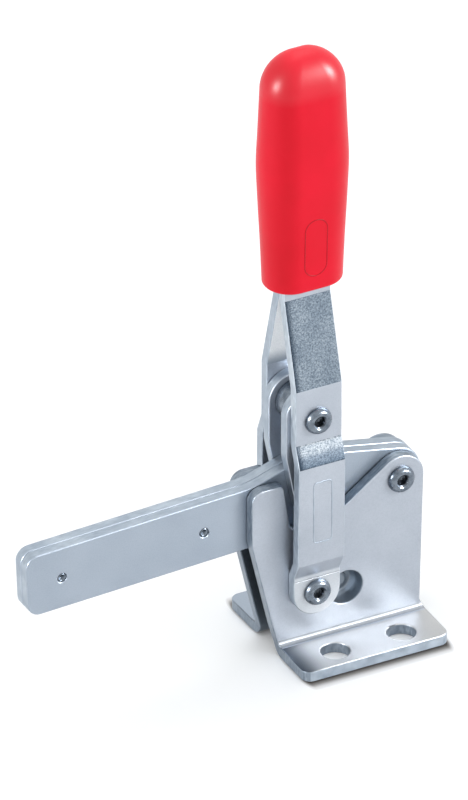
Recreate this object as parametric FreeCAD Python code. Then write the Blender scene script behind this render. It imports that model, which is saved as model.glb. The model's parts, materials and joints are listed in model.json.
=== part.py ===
"""Vertical hold-down toggle clamp with a flat base, closed, in millimetres.

Two folded base plates stand side by side on their foot flanges. A laminated arm turns
between them on the arm pivot. A two-legged handle straddles them on the handle pivot, and
two short links inside the legs join the handle to the arm. With the handle upright the
link pivot, the hidden arm link pivot and the handle pivot are in line: the toggle is shut.

+Z is up and +X points to the tip of the arm. The origin is the centre of the four bolt
holes, on the underside of the foot flanges. The clamp is the same on both sides of Y = 0.
"""
import FreeCAD, Part
import math
import os

Vector = FreeCAD.Vector

# Sheet, and the fits between the pieces
SHEET = 3.5
LAYER_GAP = 0.1
TURNING_FIT = 0.05
GRIP_FIT = 0.1

# Pivots, as X and Z in the middle plane
HANDLE_PIVOT = (13.5, 21.1)
ARM_PIVOT = (-15.6, 48.9)
LINK_PIVOT = (13.3, 78.9)
LINK_LENGTH = 28.6

# Rivets of the four pivots
SHANK_R = 2.5
HEAD_R = 4.2
HEAD_EDGE = 0.5
HEAD_HEIGHT = 2.0
HEAD_LIP_R = 2.9
HEAD_HOLE_R = 1.3
HEAD_HOLE_DEPTH = 1.6
HEAD_CLEAR = 0.6
BACK_HEAD_R = 4.4
LINK_SPACER_R = 6.5
HANDLE_SPACER_R = 4.6
BUSH_WALL = 1.3

# Base plates: the foot flange and its bolt holes
HOLE_SPACING_X = 21.5
HOLE_EDGE = 7.2
HOLE_R = 4.3
FOOT_FRONT = 24.2
FOOT_HALF_WIDTH = 24.0
FOOT_CORNER_R = 3.0
BEND_R = 1.9

# Base plates: the upright wall
BOSS_R = 7.5
WALL_REAR_FOOT = -22.0
WALL_REAR_FOOT_Z = 6.1
WALL_REAR_R = 1.5
WAIST_X = 26.2
WAIST_Z = 11.0
WAIST_R = 14.0
EAR_FRONT = 32.8
EAR_CHIN_R = 8.0
EAR_CHIN_Z = 39.7
EAR_TOP = 57.3
EAR_REAR_TOP = 22.4
EAR_CORNER_R = 4.0
EAR_REAR_R = 1.8
NOTCH_FRONT = 20.2
NOTCH_REAR = 8.1
NOTCH_BOTTOM = 41.0
NOTCH_FRONT_R = 3.5
NOTCH_REAR_R = 6.0

# Pressed cups low in the walls, and the rivet that ties them
CUP_CENTRE = (2.2, 17.2)
CUP_MOUTH_R = 5.4
CUP_KNEE_R = 5.0
CUP_KNEE = 3.6
CUP_FLOOR_R = 3.9
CUP_FLOOR = 2.0
CUP_WALL = 1.6
CUP_BITE = 0.5
TIE_SHANK_R = 1.5
TIE_HEAD_R = 2.7
TIE_HEAD_HEIGHT = 0.9

# Arm
ARM_REACH = 119.2
ARM_HEIGHT = 20.0
ARM_DROOP = 2.36
ARM_END_R = 8.2
ARM_CORNER_R = 4.0
ARM_UNDER_START = 14.0
ARM_UNDER_R = 10.0
HUMP_AT = 27.4
HUMP_HEIGHT = 15.2
HUMP_R = 12.0
HUMP_END = 46.0
HUMP_END_R = 25.0
ARM_RIVET_R = 1.45
ARM_RIVET_DIMPLE = 0.25
FRONT_RIVET_EDGE = 11.3
RIVET_PITCH = 45.9

# Handle legs
LEG_WIDTH = 15.0
LEG_MID_X = 13.0
FOOT_FLAT = 6.3
FOOT_JOGGLE = 5.0
LINK_FLAT_BELOW = 7.3
LINK_JOGGLE = 6.3
LINK_FLAT_ABOVE = 10.9
FLARE_HEIGHT = 26.8
NECK = 4.2
LEG_IN_GRIP = 55.0
CREASE_R = 1.5
LEG_TOP_R = 4.0

# Links
LINK_TOP_R = 8.4
LINK_END_R = 5.2
LINK_PARALLEL = 13.0
LINK_SIDE_R = 6.0

# Grip
GRIP_HEIGHT = 76.8
GRIP_MID_X = 12.9
GRIP_DEPTH_SHARE = 0.67
GRIP_CORNER_SHARE = 0.655
GRIP_RIM_R = 0.8
GRIP_SWELL = (
    (0.0, 12.05),
    (12.5, 12.55),
    (23.0, 13.1),
    (31.0, 13.5),
    (40.0, 13.8),
    (50.0, 13.35),
    (58.0, 13.0),
)
GRIP_DOME_HEIGHT = 12.7
GRIP_DOME_R = 12.75
GRIP_DOME_STEPS = (0.0, 0.3, 0.55, 0.75, 0.88, 0.96, 0.993)

# Layers outwards from the middle plane
ARM_OUT = SHEET
INNER_IN = ARM_OUT + LAYER_GAP
INNER_OUT = INNER_IN + SHEET
LEG_IN = INNER_OUT + LAYER_GAP
LEG_OUT = LEG_IN + SHEET
BULGE_IN = INNER_OUT + HEAD_HEIGHT + HEAD_CLEAR

# The toggle is shut, so the arm link pivot is on the line between the other two
TOGGLE_LENGTH = math.dist(LINK_PIVOT, HANDLE_PIVOT)
ARM_LINK_PIVOT = tuple(
    top + (foot - top) * LINK_LENGTH / TOGGLE_LENGTH for top, foot in zip(LINK_PIVOT, HANDLE_PIVOT)
)
BASE_REAR = ARM_PIVOT[0] - BOSS_R
HOLE_SPACING_Y = 2 * (FOOT_HALF_WIDTH - HOLE_EDGE)
FRONT_RIVET_AT = ARM_REACH - FRONT_RIVET_EDGE
REAR_RIVET_AT = FRONT_RIVET_AT - RIVET_PITCH
GRIP_BOTTOM = LINK_PIVOT[1] + LINK_FLAT_ABOVE + FLARE_HEIGHT + NECK


def corner(x, z, radius=0.0):
    """Return a corner of an outline, rounded by radius."""
    return x, z, radius, False


def around(centre, radius):
    """Return a round stretch of an outline about a centre. A negative radius is hollow."""
    return centre[0], centre[1], radius, True


def tangent(first, second):
    """Return the ends of the straight run from one outline item to the next."""
    start_r = first[2] if first[3] else 0.0
    end_r = second[2] if second[3] else 0.0
    run_x = second[0] - first[0]
    run_z = second[1] - first[1]
    length = math.hypot(run_x, run_z)
    along = (end_r - start_r) / length
    across = math.sqrt(1.0 - along * along)
    normal_x = (along * run_x - across * run_z) / length
    normal_z = (along * run_z + across * run_x) / length
    start = (first[0] - start_r * normal_x, first[1] - start_r * normal_z)
    end = (second[0] - end_r * normal_x, second[1] - end_r * normal_z)
    return start, end


def corner_arc(point, before, after, radius):
    """Return the start, middle and end of the arc that rounds a corner."""
    into = ((point[0] - before[0]), (point[1] - before[1]))
    out = ((after[0] - point[0]), (after[1] - point[1]))
    into_length = math.hypot(*into)
    out_length = math.hypot(*out)
    into = (into[0] / into_length, into[1] / into_length)
    out = (out[0] / out_length, out[1] / out_length)
    turn = math.atan2(into[0] * out[1] - into[1] * out[0], into[0] * out[0] + into[1] * out[1])
    setback = radius * math.tan(abs(turn) / 2.0)
    to_centre = radius / math.cos(turn / 2.0)
    bisector = (out[0] - into[0], out[1] - into[1])
    bisector_length = math.hypot(*bisector)
    reach = (to_centre - radius) / bisector_length
    start = (point[0] - into[0] * setback, point[1] - into[1] * setback)
    middle = (point[0] + bisector[0] * reach, point[1] + bisector[1] * reach)
    end = (point[0] + out[0] * setback, point[1] + out[1] * setback)
    return start, middle, end


def round_arc(item, start, end):
    """Return the middle of the arc about an item's centre from start to end."""
    sense = 1.0 if item[2] > 0.0 else -1.0
    first = math.atan2(start[1] - item[1], start[0] - item[0])
    last = math.atan2(end[1] - item[1], end[0] - item[0])
    sweep = ((last - first) * sense) % (2.0 * math.pi)
    half = first + sense * sweep / 2.0
    radius = abs(item[2])
    return item[0] + radius * math.cos(half), item[1] + radius * math.sin(half)


def outline_wire(items, place):
    """Return the closed wire of an anticlockwise outline; place makes a point of a pair."""
    count = len(items)
    runs = [tangent(items[i], items[(i + 1) % count]) for i in range(count)]
    edges = []
    arcs = []
    for i, item in enumerate(items):
        arrive = runs[i - 1]
        leave = runs[i]
        if item[3]:
            arcs.append((arrive[1], round_arc(item, arrive[1], leave[0]), leave[0]))
        elif item[2] > 0.0:
            arcs.append(corner_arc((item[0], item[1]), arrive[0], leave[1], item[2]))
        else:
            arcs.append(((item[0], item[1]), None, (item[0], item[1])))
    for i, (start, middle, end) in enumerate(arcs):
        if middle is not None:
            edges.append(Part.Arc(place(start), place(middle), place(end)).toShape())
        next_start = arcs[(i + 1) % count][0]
        if math.dist(end, next_start) > 1e-6:
            edges.append(Part.LineSegment(place(end), place(next_start)).toShape())
    return Part.Wire(edges)


def upright_prism(items, y_low, y_high):
    """Return a solid with an outline in X and Z, from y_low to y_high."""
    wire = outline_wire(items, lambda pair: Vector(pair[0], y_low, pair[1]))
    return Part.Face(wire).extrude(Vector(0, y_high - y_low, 0))


def crossways_prism(items, x_low, x_high):
    """Return a solid with an outline in Y and Z, from x_low to x_high."""
    wire = outline_wire(items, lambda pair: Vector(x_low, pair[0], pair[1]))
    return Part.Face(wire).extrude(Vector(x_high - x_low, 0, 0))


def cross_pin(centre, radius, y_low, y_high):
    """Return a cylinder along Y through a pivot."""
    base = Vector(centre[0], y_low, centre[1])
    return Part.makeCylinder(radius, y_high - y_low, base, Vector(0, 1, 0))


def turned(centre, profile):
    """Return a solid turned about the Y axis through a pivot, from pairs of radius and y."""
    points = [Vector(centre[0] + radius, y, centre[1]) for radius, y in profile]
    face = Part.Face(Part.makePolygon(points + points[:1]))
    return face.revolve(Vector(centre[0], 0, centre[1]), Vector(0, 1, 0), 360)


def mirrored(shape):
    """Return the right-hand twin of a left-hand piece."""
    return shape.mirror(Vector(0, 0, 0), Vector(0, 1, 0))


def arm_point(along, across):
    """Return X and Z of a point given along and across the drooping arm from its pivot."""
    droop = math.radians(ARM_DROOP)
    x = ARM_PIVOT[0] + along * math.cos(droop) + across * math.sin(droop)
    z = ARM_PIVOT[1] - along * math.sin(droop) + across * math.cos(droop)
    return x, z


def base_plate():
    """Return the left base plate: folded sheet with an ear, a notch, a boss and a cup."""
    bend_out = BEND_R + SHEET
    section = crossways_prism(
        [
            corner(INNER_IN, 0.0, bend_out),
            corner(FOOT_HALF_WIDTH, 0.0),
            corner(FOOT_HALF_WIDTH, SHEET),
            corner(INNER_OUT, SHEET, BEND_R),
            corner(INNER_OUT, EAR_TOP),
            corner(INNER_IN, EAR_TOP),
        ],
        BASE_REAR,
        EAR_FRONT,
    )
    side_view = upright_prism(
        [
            corner(BASE_REAR, 0.0),
            corner(FOOT_FRONT, 0.0),
            corner(FOOT_FRONT, SHEET),
            corner(WAIST_X, WAIST_Z, WAIST_R),
            corner(EAR_FRONT, EAR_CHIN_Z, EAR_CHIN_R),
            corner(EAR_FRONT, EAR_TOP, EAR_CORNER_R),
            corner(EAR_REAR_TOP, EAR_TOP, EAR_REAR_R),
            corner(NOTCH_FRONT, NOTCH_BOTTOM, NOTCH_FRONT_R),
            corner(NOTCH_REAR, NOTCH_BOTTOM, NOTCH_REAR_R),
            around(ARM_PIVOT, BOSS_R),
            corner(WALL_REAR_FOOT, WALL_REAR_FOOT_Z, WALL_REAR_R),
            corner(BASE_REAR, SHEET),
        ],
        0.0,
        FOOT_HALF_WIDTH,
    )
    plate = section.common(side_view)
    foot_corners = [
        edge
        for edge in plate.Edges
        if abs(edge.BoundBox.YMin - FOOT_HALF_WIDTH) < 0.01 and edge.BoundBox.ZLength > SHEET - 0.01
    ]
    plate = plate.makeFillet(FOOT_CORNER_R, foot_corners)
    cup = turned(
        CUP_CENTRE,
        [
            (0, 0),
            (CUP_FLOOR_R + CUP_WALL, 0),
            (CUP_MOUTH_R + CUP_WALL, INNER_IN + CUP_BITE),
            (0, INNER_IN + CUP_BITE),
        ],
    )
    hollow = turned(
        CUP_CENTRE,
        [
            (0, CUP_FLOOR),
            (CUP_FLOOR_R, CUP_FLOOR),
            (CUP_KNEE_R, CUP_KNEE),
            (CUP_MOUTH_R, INNER_OUT),
            (0, INNER_OUT),
        ],
    )
    plate = plate.fuse(cup).cut(hollow).removeSplitter()
    for side in (-1, 1):
        bolt = Vector(side * HOLE_SPACING_X / 2, HOLE_SPACING_Y / 2, -1)
        plate = plate.cut(Part.makeCylinder(HOLE_R, SHEET + 2, bolt))
    plate = plate.cut(cross_pin(HANDLE_PIVOT, SHANK_R + TURNING_FIT, 0, LEG_IN))
    plate = plate.cut(cross_pin(ARM_PIVOT, SHANK_R, 0, LEG_IN))
    return plate.cut(cross_pin(CUP_CENTRE, TIE_SHANK_R, -1, LEG_IN))


def arm_plate():
    """Return the left plate of the laminated arm."""
    half = ARM_HEIGHT / 2
    items = [
        around(ARM_PIVOT, ARM_END_R),
        corner(*arm_point(ARM_UNDER_START, -half), ARM_UNDER_R),
        corner(*arm_point(ARM_REACH, -half), ARM_CORNER_R),
        corner(*arm_point(ARM_REACH, half), ARM_CORNER_R),
        corner(*arm_point(HUMP_END, half), HUMP_END_R),
        corner(*arm_point(HUMP_AT, HUMP_HEIGHT), HUMP_R),
    ]
    plate = upright_prism(items, 0, ARM_OUT)
    plate = plate.cut(cross_pin(ARM_PIVOT, SHANK_R + BUSH_WALL, -1, ARM_OUT + 1))
    plate = plate.cut(cross_pin(ARM_LINK_PIVOT, SHANK_R + TURNING_FIT, -1, ARM_OUT + 1))
    for along in (FRONT_RIVET_AT, REAR_RIVET_AT):
        plate = plate.cut(cross_pin(arm_point(along, 0), ARM_RIVET_R, -1, ARM_OUT + 1))
    return plate


def arm_rivet(along):
    """Return a short rivet that holds the two arm plates together, sunk a little."""
    reach = ARM_OUT - ARM_RIVET_DIMPLE
    return cross_pin(arm_point(along, 0), ARM_RIVET_R, -reach, reach)


def arm_bush():
    """Return the bush that is fixed in the arm at the arm pivot."""
    bush = cross_pin(ARM_PIVOT, SHANK_R + BUSH_WALL, -ARM_OUT, ARM_OUT)
    return bush.cut(cross_pin(ARM_PIVOT, SHANK_R, -ARM_OUT - 1, ARM_OUT + 1))


def handle_leg():
    """Return the left leg: parallel in the grip, flared, stepped out and in again."""
    foot_top = HANDLE_PIVOT[1] + FOOT_FLAT
    bulge_low = foot_top + FOOT_JOGGLE
    link_low = LINK_PIVOT[1] - LINK_FLAT_BELOW
    bulge_high = link_low - LINK_JOGGLE
    flare_low = LINK_PIVOT[1] + LINK_FLAT_ABOVE
    flare_high = flare_low + FLARE_HEIGHT
    bottom = HANDLE_PIVOT[1] - LEG_WIDTH / 2
    top = GRIP_BOTTOM + LEG_IN_GRIP
    stations = [
        (LEG_IN, bottom),
        (LEG_IN, foot_top),
        (BULGE_IN, bulge_low),
        (BULGE_IN, bulge_high),
        (LEG_IN, link_low),
        (LEG_IN, flare_low),
        (0.0, flare_high),
        (0.0, top),
    ]
    outer = [corner(y + SHEET, z, CREASE_R) for y, z in stations[1:-1]]
    inner = [corner(y, z, CREASE_R) for y, z in reversed(stations[1:-1])]
    section = crossways_prism(
        [corner(LEG_IN, bottom), corner(LEG_IN + SHEET, bottom)]
        + outer
        + [corner(SHEET, top), corner(0.0, top)]
        + inner,
        LEG_MID_X - LEG_WIDTH,
        LEG_MID_X + LEG_WIDTH,
    )
    half = LEG_WIDTH / 2
    side_view = upright_prism(
        [
            around(HANDLE_PIVOT, half),
            corner(LEG_MID_X + half, LINK_PIVOT[1]),
            corner(LEG_MID_X + half, top, LEG_TOP_R),
            corner(LEG_MID_X - half, top, LEG_TOP_R),
            corner(LEG_MID_X - half, LINK_PIVOT[1]),
        ],
        0.0,
        BULGE_IN + SHEET,
    )
    leg = section.common(side_view)
    leg = leg.cut(cross_pin(HANDLE_PIVOT, SHANK_R, 0, LEG_OUT + 1))
    return leg.cut(cross_pin(LINK_PIVOT, SHANK_R, 0, LEG_OUT + 1))


def link():
    """Return the left link, from the link pivot down to the arm link pivot."""
    drop = LINK_PIVOT[1] - LINK_PARALLEL
    plate = upright_prism(
        [
            around(ARM_LINK_PIVOT, LINK_END_R),
            corner(LINK_PIVOT[0] + LINK_TOP_R, drop, LINK_SIDE_R),
            around(LINK_PIVOT, LINK_TOP_R),
            corner(LINK_PIVOT[0] - LINK_TOP_R, drop, LINK_SIDE_R),
        ],
        INNER_IN,
        INNER_OUT,
    )
    plate = plate.cut(cross_pin(LINK_PIVOT, SHANK_R + TURNING_FIT, 0, LEG_IN))
    return plate.cut(cross_pin(ARM_LINK_PIVOT, SHANK_R, 0, LEG_IN))


def closed_head(centre, seat):
    """Return the rolled rivet head on the left side, a dome with a hole in it."""
    rim_y = seat + HEAD_HEIGHT
    floor_y = rim_y - HEAD_HOLE_DEPTH
    flank_r = (HEAD_R + HEAD_LIP_R) / 2
    throat_r = (HEAD_LIP_R + HEAD_HOLE_R) / 2
    profile = [
        (0.0, seat),
        (HEAD_R, seat),
        (HEAD_R, seat + HEAD_EDGE),
        (flank_r, rim_y - HEAD_EDGE / 2),
        (HEAD_LIP_R, rim_y),
        (throat_r, rim_y - HEAD_EDGE / 2),
        (HEAD_HOLE_R, rim_y - HEAD_HOLE_DEPTH / 2),
        (HEAD_HOLE_R, floor_y),
        (0.0, floor_y),
    ]
    return turned(centre, profile)


def factory_head(centre, seat):
    """Return the plain domed rivet head on the right side, which faces -Y."""
    dome_r = (BACK_HEAD_R ** 2 + HEAD_HEIGHT ** 2) / (2 * HEAD_HEIGHT)
    ball = Part.makeSphere(dome_r, Vector(centre[0], -seat - HEAD_HEIGHT + dome_r, centre[1]))
    return ball.common(cross_pin(centre, BACK_HEAD_R, -seat - HEAD_HEIGHT - 1, -seat))


def pivot_rivet(centre, seat):
    """Return a rivet whose heads bear on the outermost plates at y = seat on both sides."""
    shank = cross_pin(centre, SHANK_R, -seat, seat)
    rivet = shank.fuse([closed_head(centre, seat), factory_head(centre, seat)])
    return rivet.removeSplitter()


def arm_pivot_end_left():
    """Return the left end of the arm pivot rivet: its stretch in the base plate and its head."""
    stub = cross_pin(ARM_PIVOT, SHANK_R, INNER_IN, INNER_OUT)
    return stub.fuse(closed_head(ARM_PIVOT, INNER_OUT)).removeSplitter()


def arm_pivot_end_right():
    """Return the right end of the arm pivot rivet: its stretch in the base plate and its head."""
    stub = cross_pin(ARM_PIVOT, SHANK_R, -INNER_OUT, -INNER_IN)
    return stub.fuse(factory_head(ARM_PIVOT, INNER_OUT)).removeSplitter()


def spacer(centre, outer_r, bore_r, length):
    """Return a tube on a pivot rivet between two plates."""
    tube = cross_pin(centre, outer_r, -length / 2, length / 2)
    return tube.cut(cross_pin(centre, bore_r, -length, length))


def cup_tie_rivet():
    """Return the rivet through the floors of both cups."""
    rivet = cross_pin(CUP_CENTRE, TIE_SHANK_R, -CUP_FLOOR, CUP_FLOOR)
    for side in (-1, 1):
        seat = side * CUP_FLOOR
        head = turned(
            CUP_CENTRE,
            [
                (0.0, seat),
                (TIE_HEAD_R, seat),
                (TIE_HEAD_R - 0.3, seat + side * TIE_HEAD_HEIGHT * 0.7),
                (TIE_HEAD_R * 0.6, seat + side * TIE_HEAD_HEIGHT),
                (0.0, seat + side * TIE_HEAD_HEIGHT),
            ],
        )
        rivet = rivet.fuse(head)
    return rivet.removeSplitter()


def grip_section(z, half_x):
    """Return the oval of the grip at a height: flat sides joined by round ends."""
    half_y = half_x * GRIP_DEPTH_SHARE
    radius = half_x * GRIP_CORNER_SHARE
    corners = [
        corner(GRIP_MID_X - half_x, -half_y, radius),
        corner(GRIP_MID_X + half_x, -half_y, radius),
        corner(GRIP_MID_X + half_x, half_y, radius),
        corner(GRIP_MID_X - half_x, half_y, radius),
    ]
    return outline_wire(corners, lambda pair: Vector(pair[0], pair[1], z))


def grip():
    """Return the moulded grip with its pocket for the tops of the two legs."""
    bottom = GRIP_BOTTOM
    dome_foot = bottom + GRIP_HEIGHT - GRIP_DOME_HEIGHT
    sections = [grip_section(bottom + height, half_x) for height, half_x in GRIP_SWELL]
    for share in GRIP_DOME_STEPS:
        half_x = GRIP_DOME_R * math.sqrt(1.0 - share * share)
        sections.append(grip_section(dome_foot + share * GRIP_DOME_HEIGHT, half_x))
    body = Part.makeLoft(sections, True, True)
    rim = [edge for edge in body.Edges if edge.BoundBox.ZMax < bottom + 0.01]
    body = body.makeFillet(GRIP_RIM_R, rim)
    half = LEG_WIDTH / 2 + GRIP_FIT
    pocket = Part.makeBox(
        2 * half,
        2 * (SHEET + GRIP_FIT),
        LEG_IN_GRIP + GRIP_FIT,
        Vector(LEG_MID_X - half, -SHEET - GRIP_FIT, bottom),
    )
    return body.cut(pocket)


def main():
    """Build every piece and write each to its own file."""
    plate = base_plate()
    arm = arm_plate()
    leg = handle_leg()
    side_link = link()
    pieces = {
        "base_plate_left": plate,
        "base_plate_right": mirrored(plate),
        "cup_tie_rivet": cup_tie_rivet(),
        "arm_pivot_rivet_end_left": arm_pivot_end_left(),
        "arm_pivot_rivet_end_right": arm_pivot_end_right(),
        "handle_pivot_spacer": spacer(HANDLE_PIVOT, HANDLE_SPACER_R, SHANK_R + TURNING_FIT, 2 * INNER_IN),
        "arm_plate_left": arm,
        "arm_plate_right": mirrored(arm),
        "arm_rivet_front": arm_rivet(FRONT_RIVET_AT),
        "arm_rivet_rear": arm_rivet(REAR_RIVET_AT),
        "arm_bush": arm_bush(),
        "arm_pivot_rivet_core": cross_pin(ARM_PIVOT, SHANK_R, -ARM_OUT, ARM_OUT),
        "handle_leg_left": leg,
        "handle_leg_right": mirrored(leg),
        "handle_pivot_rivet": pivot_rivet(HANDLE_PIVOT, LEG_OUT),
        "link_pivot_rivet": pivot_rivet(LINK_PIVOT, LEG_OUT),
        "link_spacer": spacer(LINK_PIVOT, LINK_SPACER_R, SHANK_R, 2 * ARM_OUT),
        "grip": grip(),
        "link_left": side_link,
        "link_right": mirrored(side_link),
        "arm_link_rivet": pivot_rivet(ARM_LINK_PIVOT, INNER_OUT),
    }
    os.makedirs("parts", exist_ok=True)
    for name, shape in pieces.items():
        solids = shape.Solids
        solid = solids[0] if len(solids) == 1 else Part.makeCompound(solids)
        solid.exportStep(os.path.join("parts", name + ".step"))
        print(name, len(solids), solid.isValid(), round(solid.Volume, 1))


main()
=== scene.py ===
"""Looks of the vertical toggle clamp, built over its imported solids.

The sheet pieces are cleaned copies of their solids with rolled edges. The rivets, the grip
and the empty outlines are modelled here. Everything is in metres in the frame of the solids:
+Z is up, +X points to the tip of the arm and +Y is the left side, which the camera sees. The
toggle is shut at rest.
"""
import json
import logging
import math
from contextlib import contextmanager
from dataclasses import dataclass, field
from enum import Enum
from typing import Callable, Iterable, Iterator, Mapping, Optional, Sequence, Union

import bpy
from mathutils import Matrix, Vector

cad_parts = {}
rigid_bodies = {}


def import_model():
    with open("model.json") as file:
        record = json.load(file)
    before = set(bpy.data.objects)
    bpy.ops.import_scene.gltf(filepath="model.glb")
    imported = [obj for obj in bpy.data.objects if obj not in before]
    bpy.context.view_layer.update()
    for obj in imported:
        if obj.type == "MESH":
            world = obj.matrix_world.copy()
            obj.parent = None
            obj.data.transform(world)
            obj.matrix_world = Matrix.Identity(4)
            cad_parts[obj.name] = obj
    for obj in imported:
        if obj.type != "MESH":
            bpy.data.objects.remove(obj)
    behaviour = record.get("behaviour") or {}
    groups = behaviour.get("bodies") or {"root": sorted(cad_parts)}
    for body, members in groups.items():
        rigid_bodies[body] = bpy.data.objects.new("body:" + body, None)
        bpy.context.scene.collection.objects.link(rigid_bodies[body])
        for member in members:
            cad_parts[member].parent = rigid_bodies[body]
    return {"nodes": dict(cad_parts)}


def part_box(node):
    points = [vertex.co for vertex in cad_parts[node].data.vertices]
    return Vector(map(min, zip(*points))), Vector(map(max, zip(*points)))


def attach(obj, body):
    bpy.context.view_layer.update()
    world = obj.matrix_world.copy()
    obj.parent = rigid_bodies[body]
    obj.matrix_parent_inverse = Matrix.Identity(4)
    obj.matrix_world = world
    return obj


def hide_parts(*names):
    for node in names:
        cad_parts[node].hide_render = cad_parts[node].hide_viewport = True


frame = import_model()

log = logging.getLogger("toggle_clamp")

Pair = tuple[float, float]
Triple = tuple[float, float, float]
Tint = Triple
Stop = tuple[float, Tint]
Move = tuple[int, Vector]
Feeds = Mapping[Union[int, str], object]
Piece = bpy.types.Object
Material = bpy.types.Material
Node = bpy.types.Node
Socket = bpy.types.NodeSocket

MM = 0.001
WHITE: Tint = (1.0, 1.0, 1.0)
# Points nearer than this many metres become one, and faces that meet at less than this many
# degrees become one.
MERGE_REACH = 0.000002
FLAT_ANGLE = 0.5
# A face is an edge of its sheet when its normal leans less than this to the sheet's normal,
# and an end when it leans more than this along X.
EDGE_ON = 0.45
END_ON = 0.6


class Body(Enum):
    """The rigid bodies that pieces ride on."""

    BASE = "base"
    HANDLE = "handle"
    LINK = "link"
    ARM = "arm"


class Slot(Enum):
    """The record's material slots."""

    SHEET = "zinc_sheet"
    RIVET = "zinc_rivet"
    GRIP = "red_plastic"


class Side(Enum):
    """Which side of the clamp a piece is on, as the sign of its Y."""

    LEFT = 1
    RIGHT = -1


class NodeBench:
    """A node tree with the tools that add nodes to it."""

    def __init__(self, tree: bpy.types.NodeTree) -> None:
        """Take a node tree."""
        self.tree = tree

    def feed(self, node: Node, feeds: Feeds) -> None:
        """Set a node's inputs.

        Args:
            node: The node.
            feeds: A value, or another node's output, for each input by name or number.
        """
        for name, value in feeds.items():
            if isinstance(value, Socket):
                self.tree.links.new(value, node.inputs[name])
            else:
                node.inputs[name].default_value = value

    def add(self, kind: str, feeds: Feeds, **settings: object) -> Node:
        """Add a node.

        Args:
            kind: Its type, without the words before it.
            feeds: What its inputs get.
            settings: Its settings by name.

        Returns:
            The node.
        """
        node = self.tree.nodes.new(f"ShaderNode{kind}")
        for name, value in settings.items():
            setattr(node, name, value)
        self.feed(node, feeds)
        return node

    def place(self) -> Socket:
        """Return the piece's own coordinates."""
        return self.add("TexCoord", {}).outputs["Object"]

    def noise(self, scale: float, detail: float, stretch: Triple = WHITE) -> Socket:
        """Add a noise in the piece's own coordinates.

        Args:
            scale: Waves per metre.
            detail: Octaves.
            stretch: Scale along X, Y and Z before the noise.

        Returns:
            The noise's value.
        """
        mapped = self.add("Mapping", {"Vector": self.place(), "Scale": stretch}).outputs["Vector"]
        feeds = {"Vector": mapped, "Scale": scale, "Detail": detail}
        return self.add("TexNoise", feeds).outputs["Fac"]

    def blend(self, value: Socket, stops: Sequence[Stop]) -> Socket:
        """Turn a value into a colour.

        Args:
            value: The value to read.
            stops: Places along the value and the colour at each.

        Returns:
            The colour.
        """
        ramp = self.add("ValToRGB", {"Fac": value})
        elements = ramp.color_ramp.elements
        while len(elements) < len(stops):
            elements.new(0.5)
        for element, (at, tint) in zip(elements, stops):
            element.position = at
            element.color = (*tint, 1.0)
        return ramp.outputs["Color"]

    def shade(self, colour: Socket, value: Socket, *stops: Stop) -> Socket:
        """Darken a colour by what a value says.

        Args:
            colour: The colour.
            value: The value to read.
            stops: Places along the value and what the colour is multiplied by at each.

        Returns:
            The darkened colour.
        """
        feeds = {"Factor": 1.0, 6: colour, 7: self.blend(value, stops)}
        return self.add("Mix", feeds, data_type="RGBA", blend_type="MULTIPLY").outputs[2]

    def larger(self, first: Socket, second: Socket) -> Socket:
        """Return the larger of two values."""
        return self.add("Math", {0: first, 1: second}, operation="MAXIMUM").outputs["Value"]

    def reach(self, value: Socket, low: float, high: float) -> Socket:
        """Map a value of 0.3 to 0.7 onto a range.

        Args:
            value: The value to map.
            low: What 0.3 becomes.
            high: What 0.7 becomes.

        Returns:
            The mapped value.
        """
        feeds = {"Value": value, "From Min": 0.3, "From Max": 0.7, "To Min": low, "To Max": high}
        return self.add("MapRange", feeds).outputs["Result"]

    def along(self, weights: Triple, stops: Pair) -> Socket:
        """Give a value of 0 to 1 that changes smoothly along a direction of the piece.

        Args:
            weights: What X, the size of Y, and Z add to the distance.
            stops: The distance in metres where the value is 0, and where it is 1.

        Returns:
            The value.
        """
        place = self.place()
        folded = self.add("VectorMath", {0: place}, operation="ABSOLUTE").outputs["Vector"]
        parts = self.add("SeparateXYZ", {"Vector": place}).outputs
        sides = self.add("SeparateXYZ", {"Vector": folded}).outputs
        both = self.add("CombineXYZ", {"X": parts["X"], "Y": sides["Y"], "Z": parts["Z"]})
        feeds = {0: both.outputs["Vector"], 1: weights}
        distance = self.add("VectorMath", feeds, operation="DOT_PRODUCT").outputs["Value"]
        feeds = {"Value": distance, "From Min": stops[0], "From Max": stops[1]}
        return self.add("MapRange", feeds, interpolation_type="SMOOTHSTEP").outputs["Result"]

    def line(self, weights: Triple, at: float, width: float) -> Socket:
        """Give a value that is 0 on a line across the piece and 1 beside it.

        Args:
            weights: What X, the size of Y, and Z add to the distance.
            at: The distance of the line, in metres.
            width: Its half width, in metres.

        Returns:
            The value.
        """
        before = self.along(weights, (at, at - width))
        return self.larger(before, self.along(weights, (at, at + width)))


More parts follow.
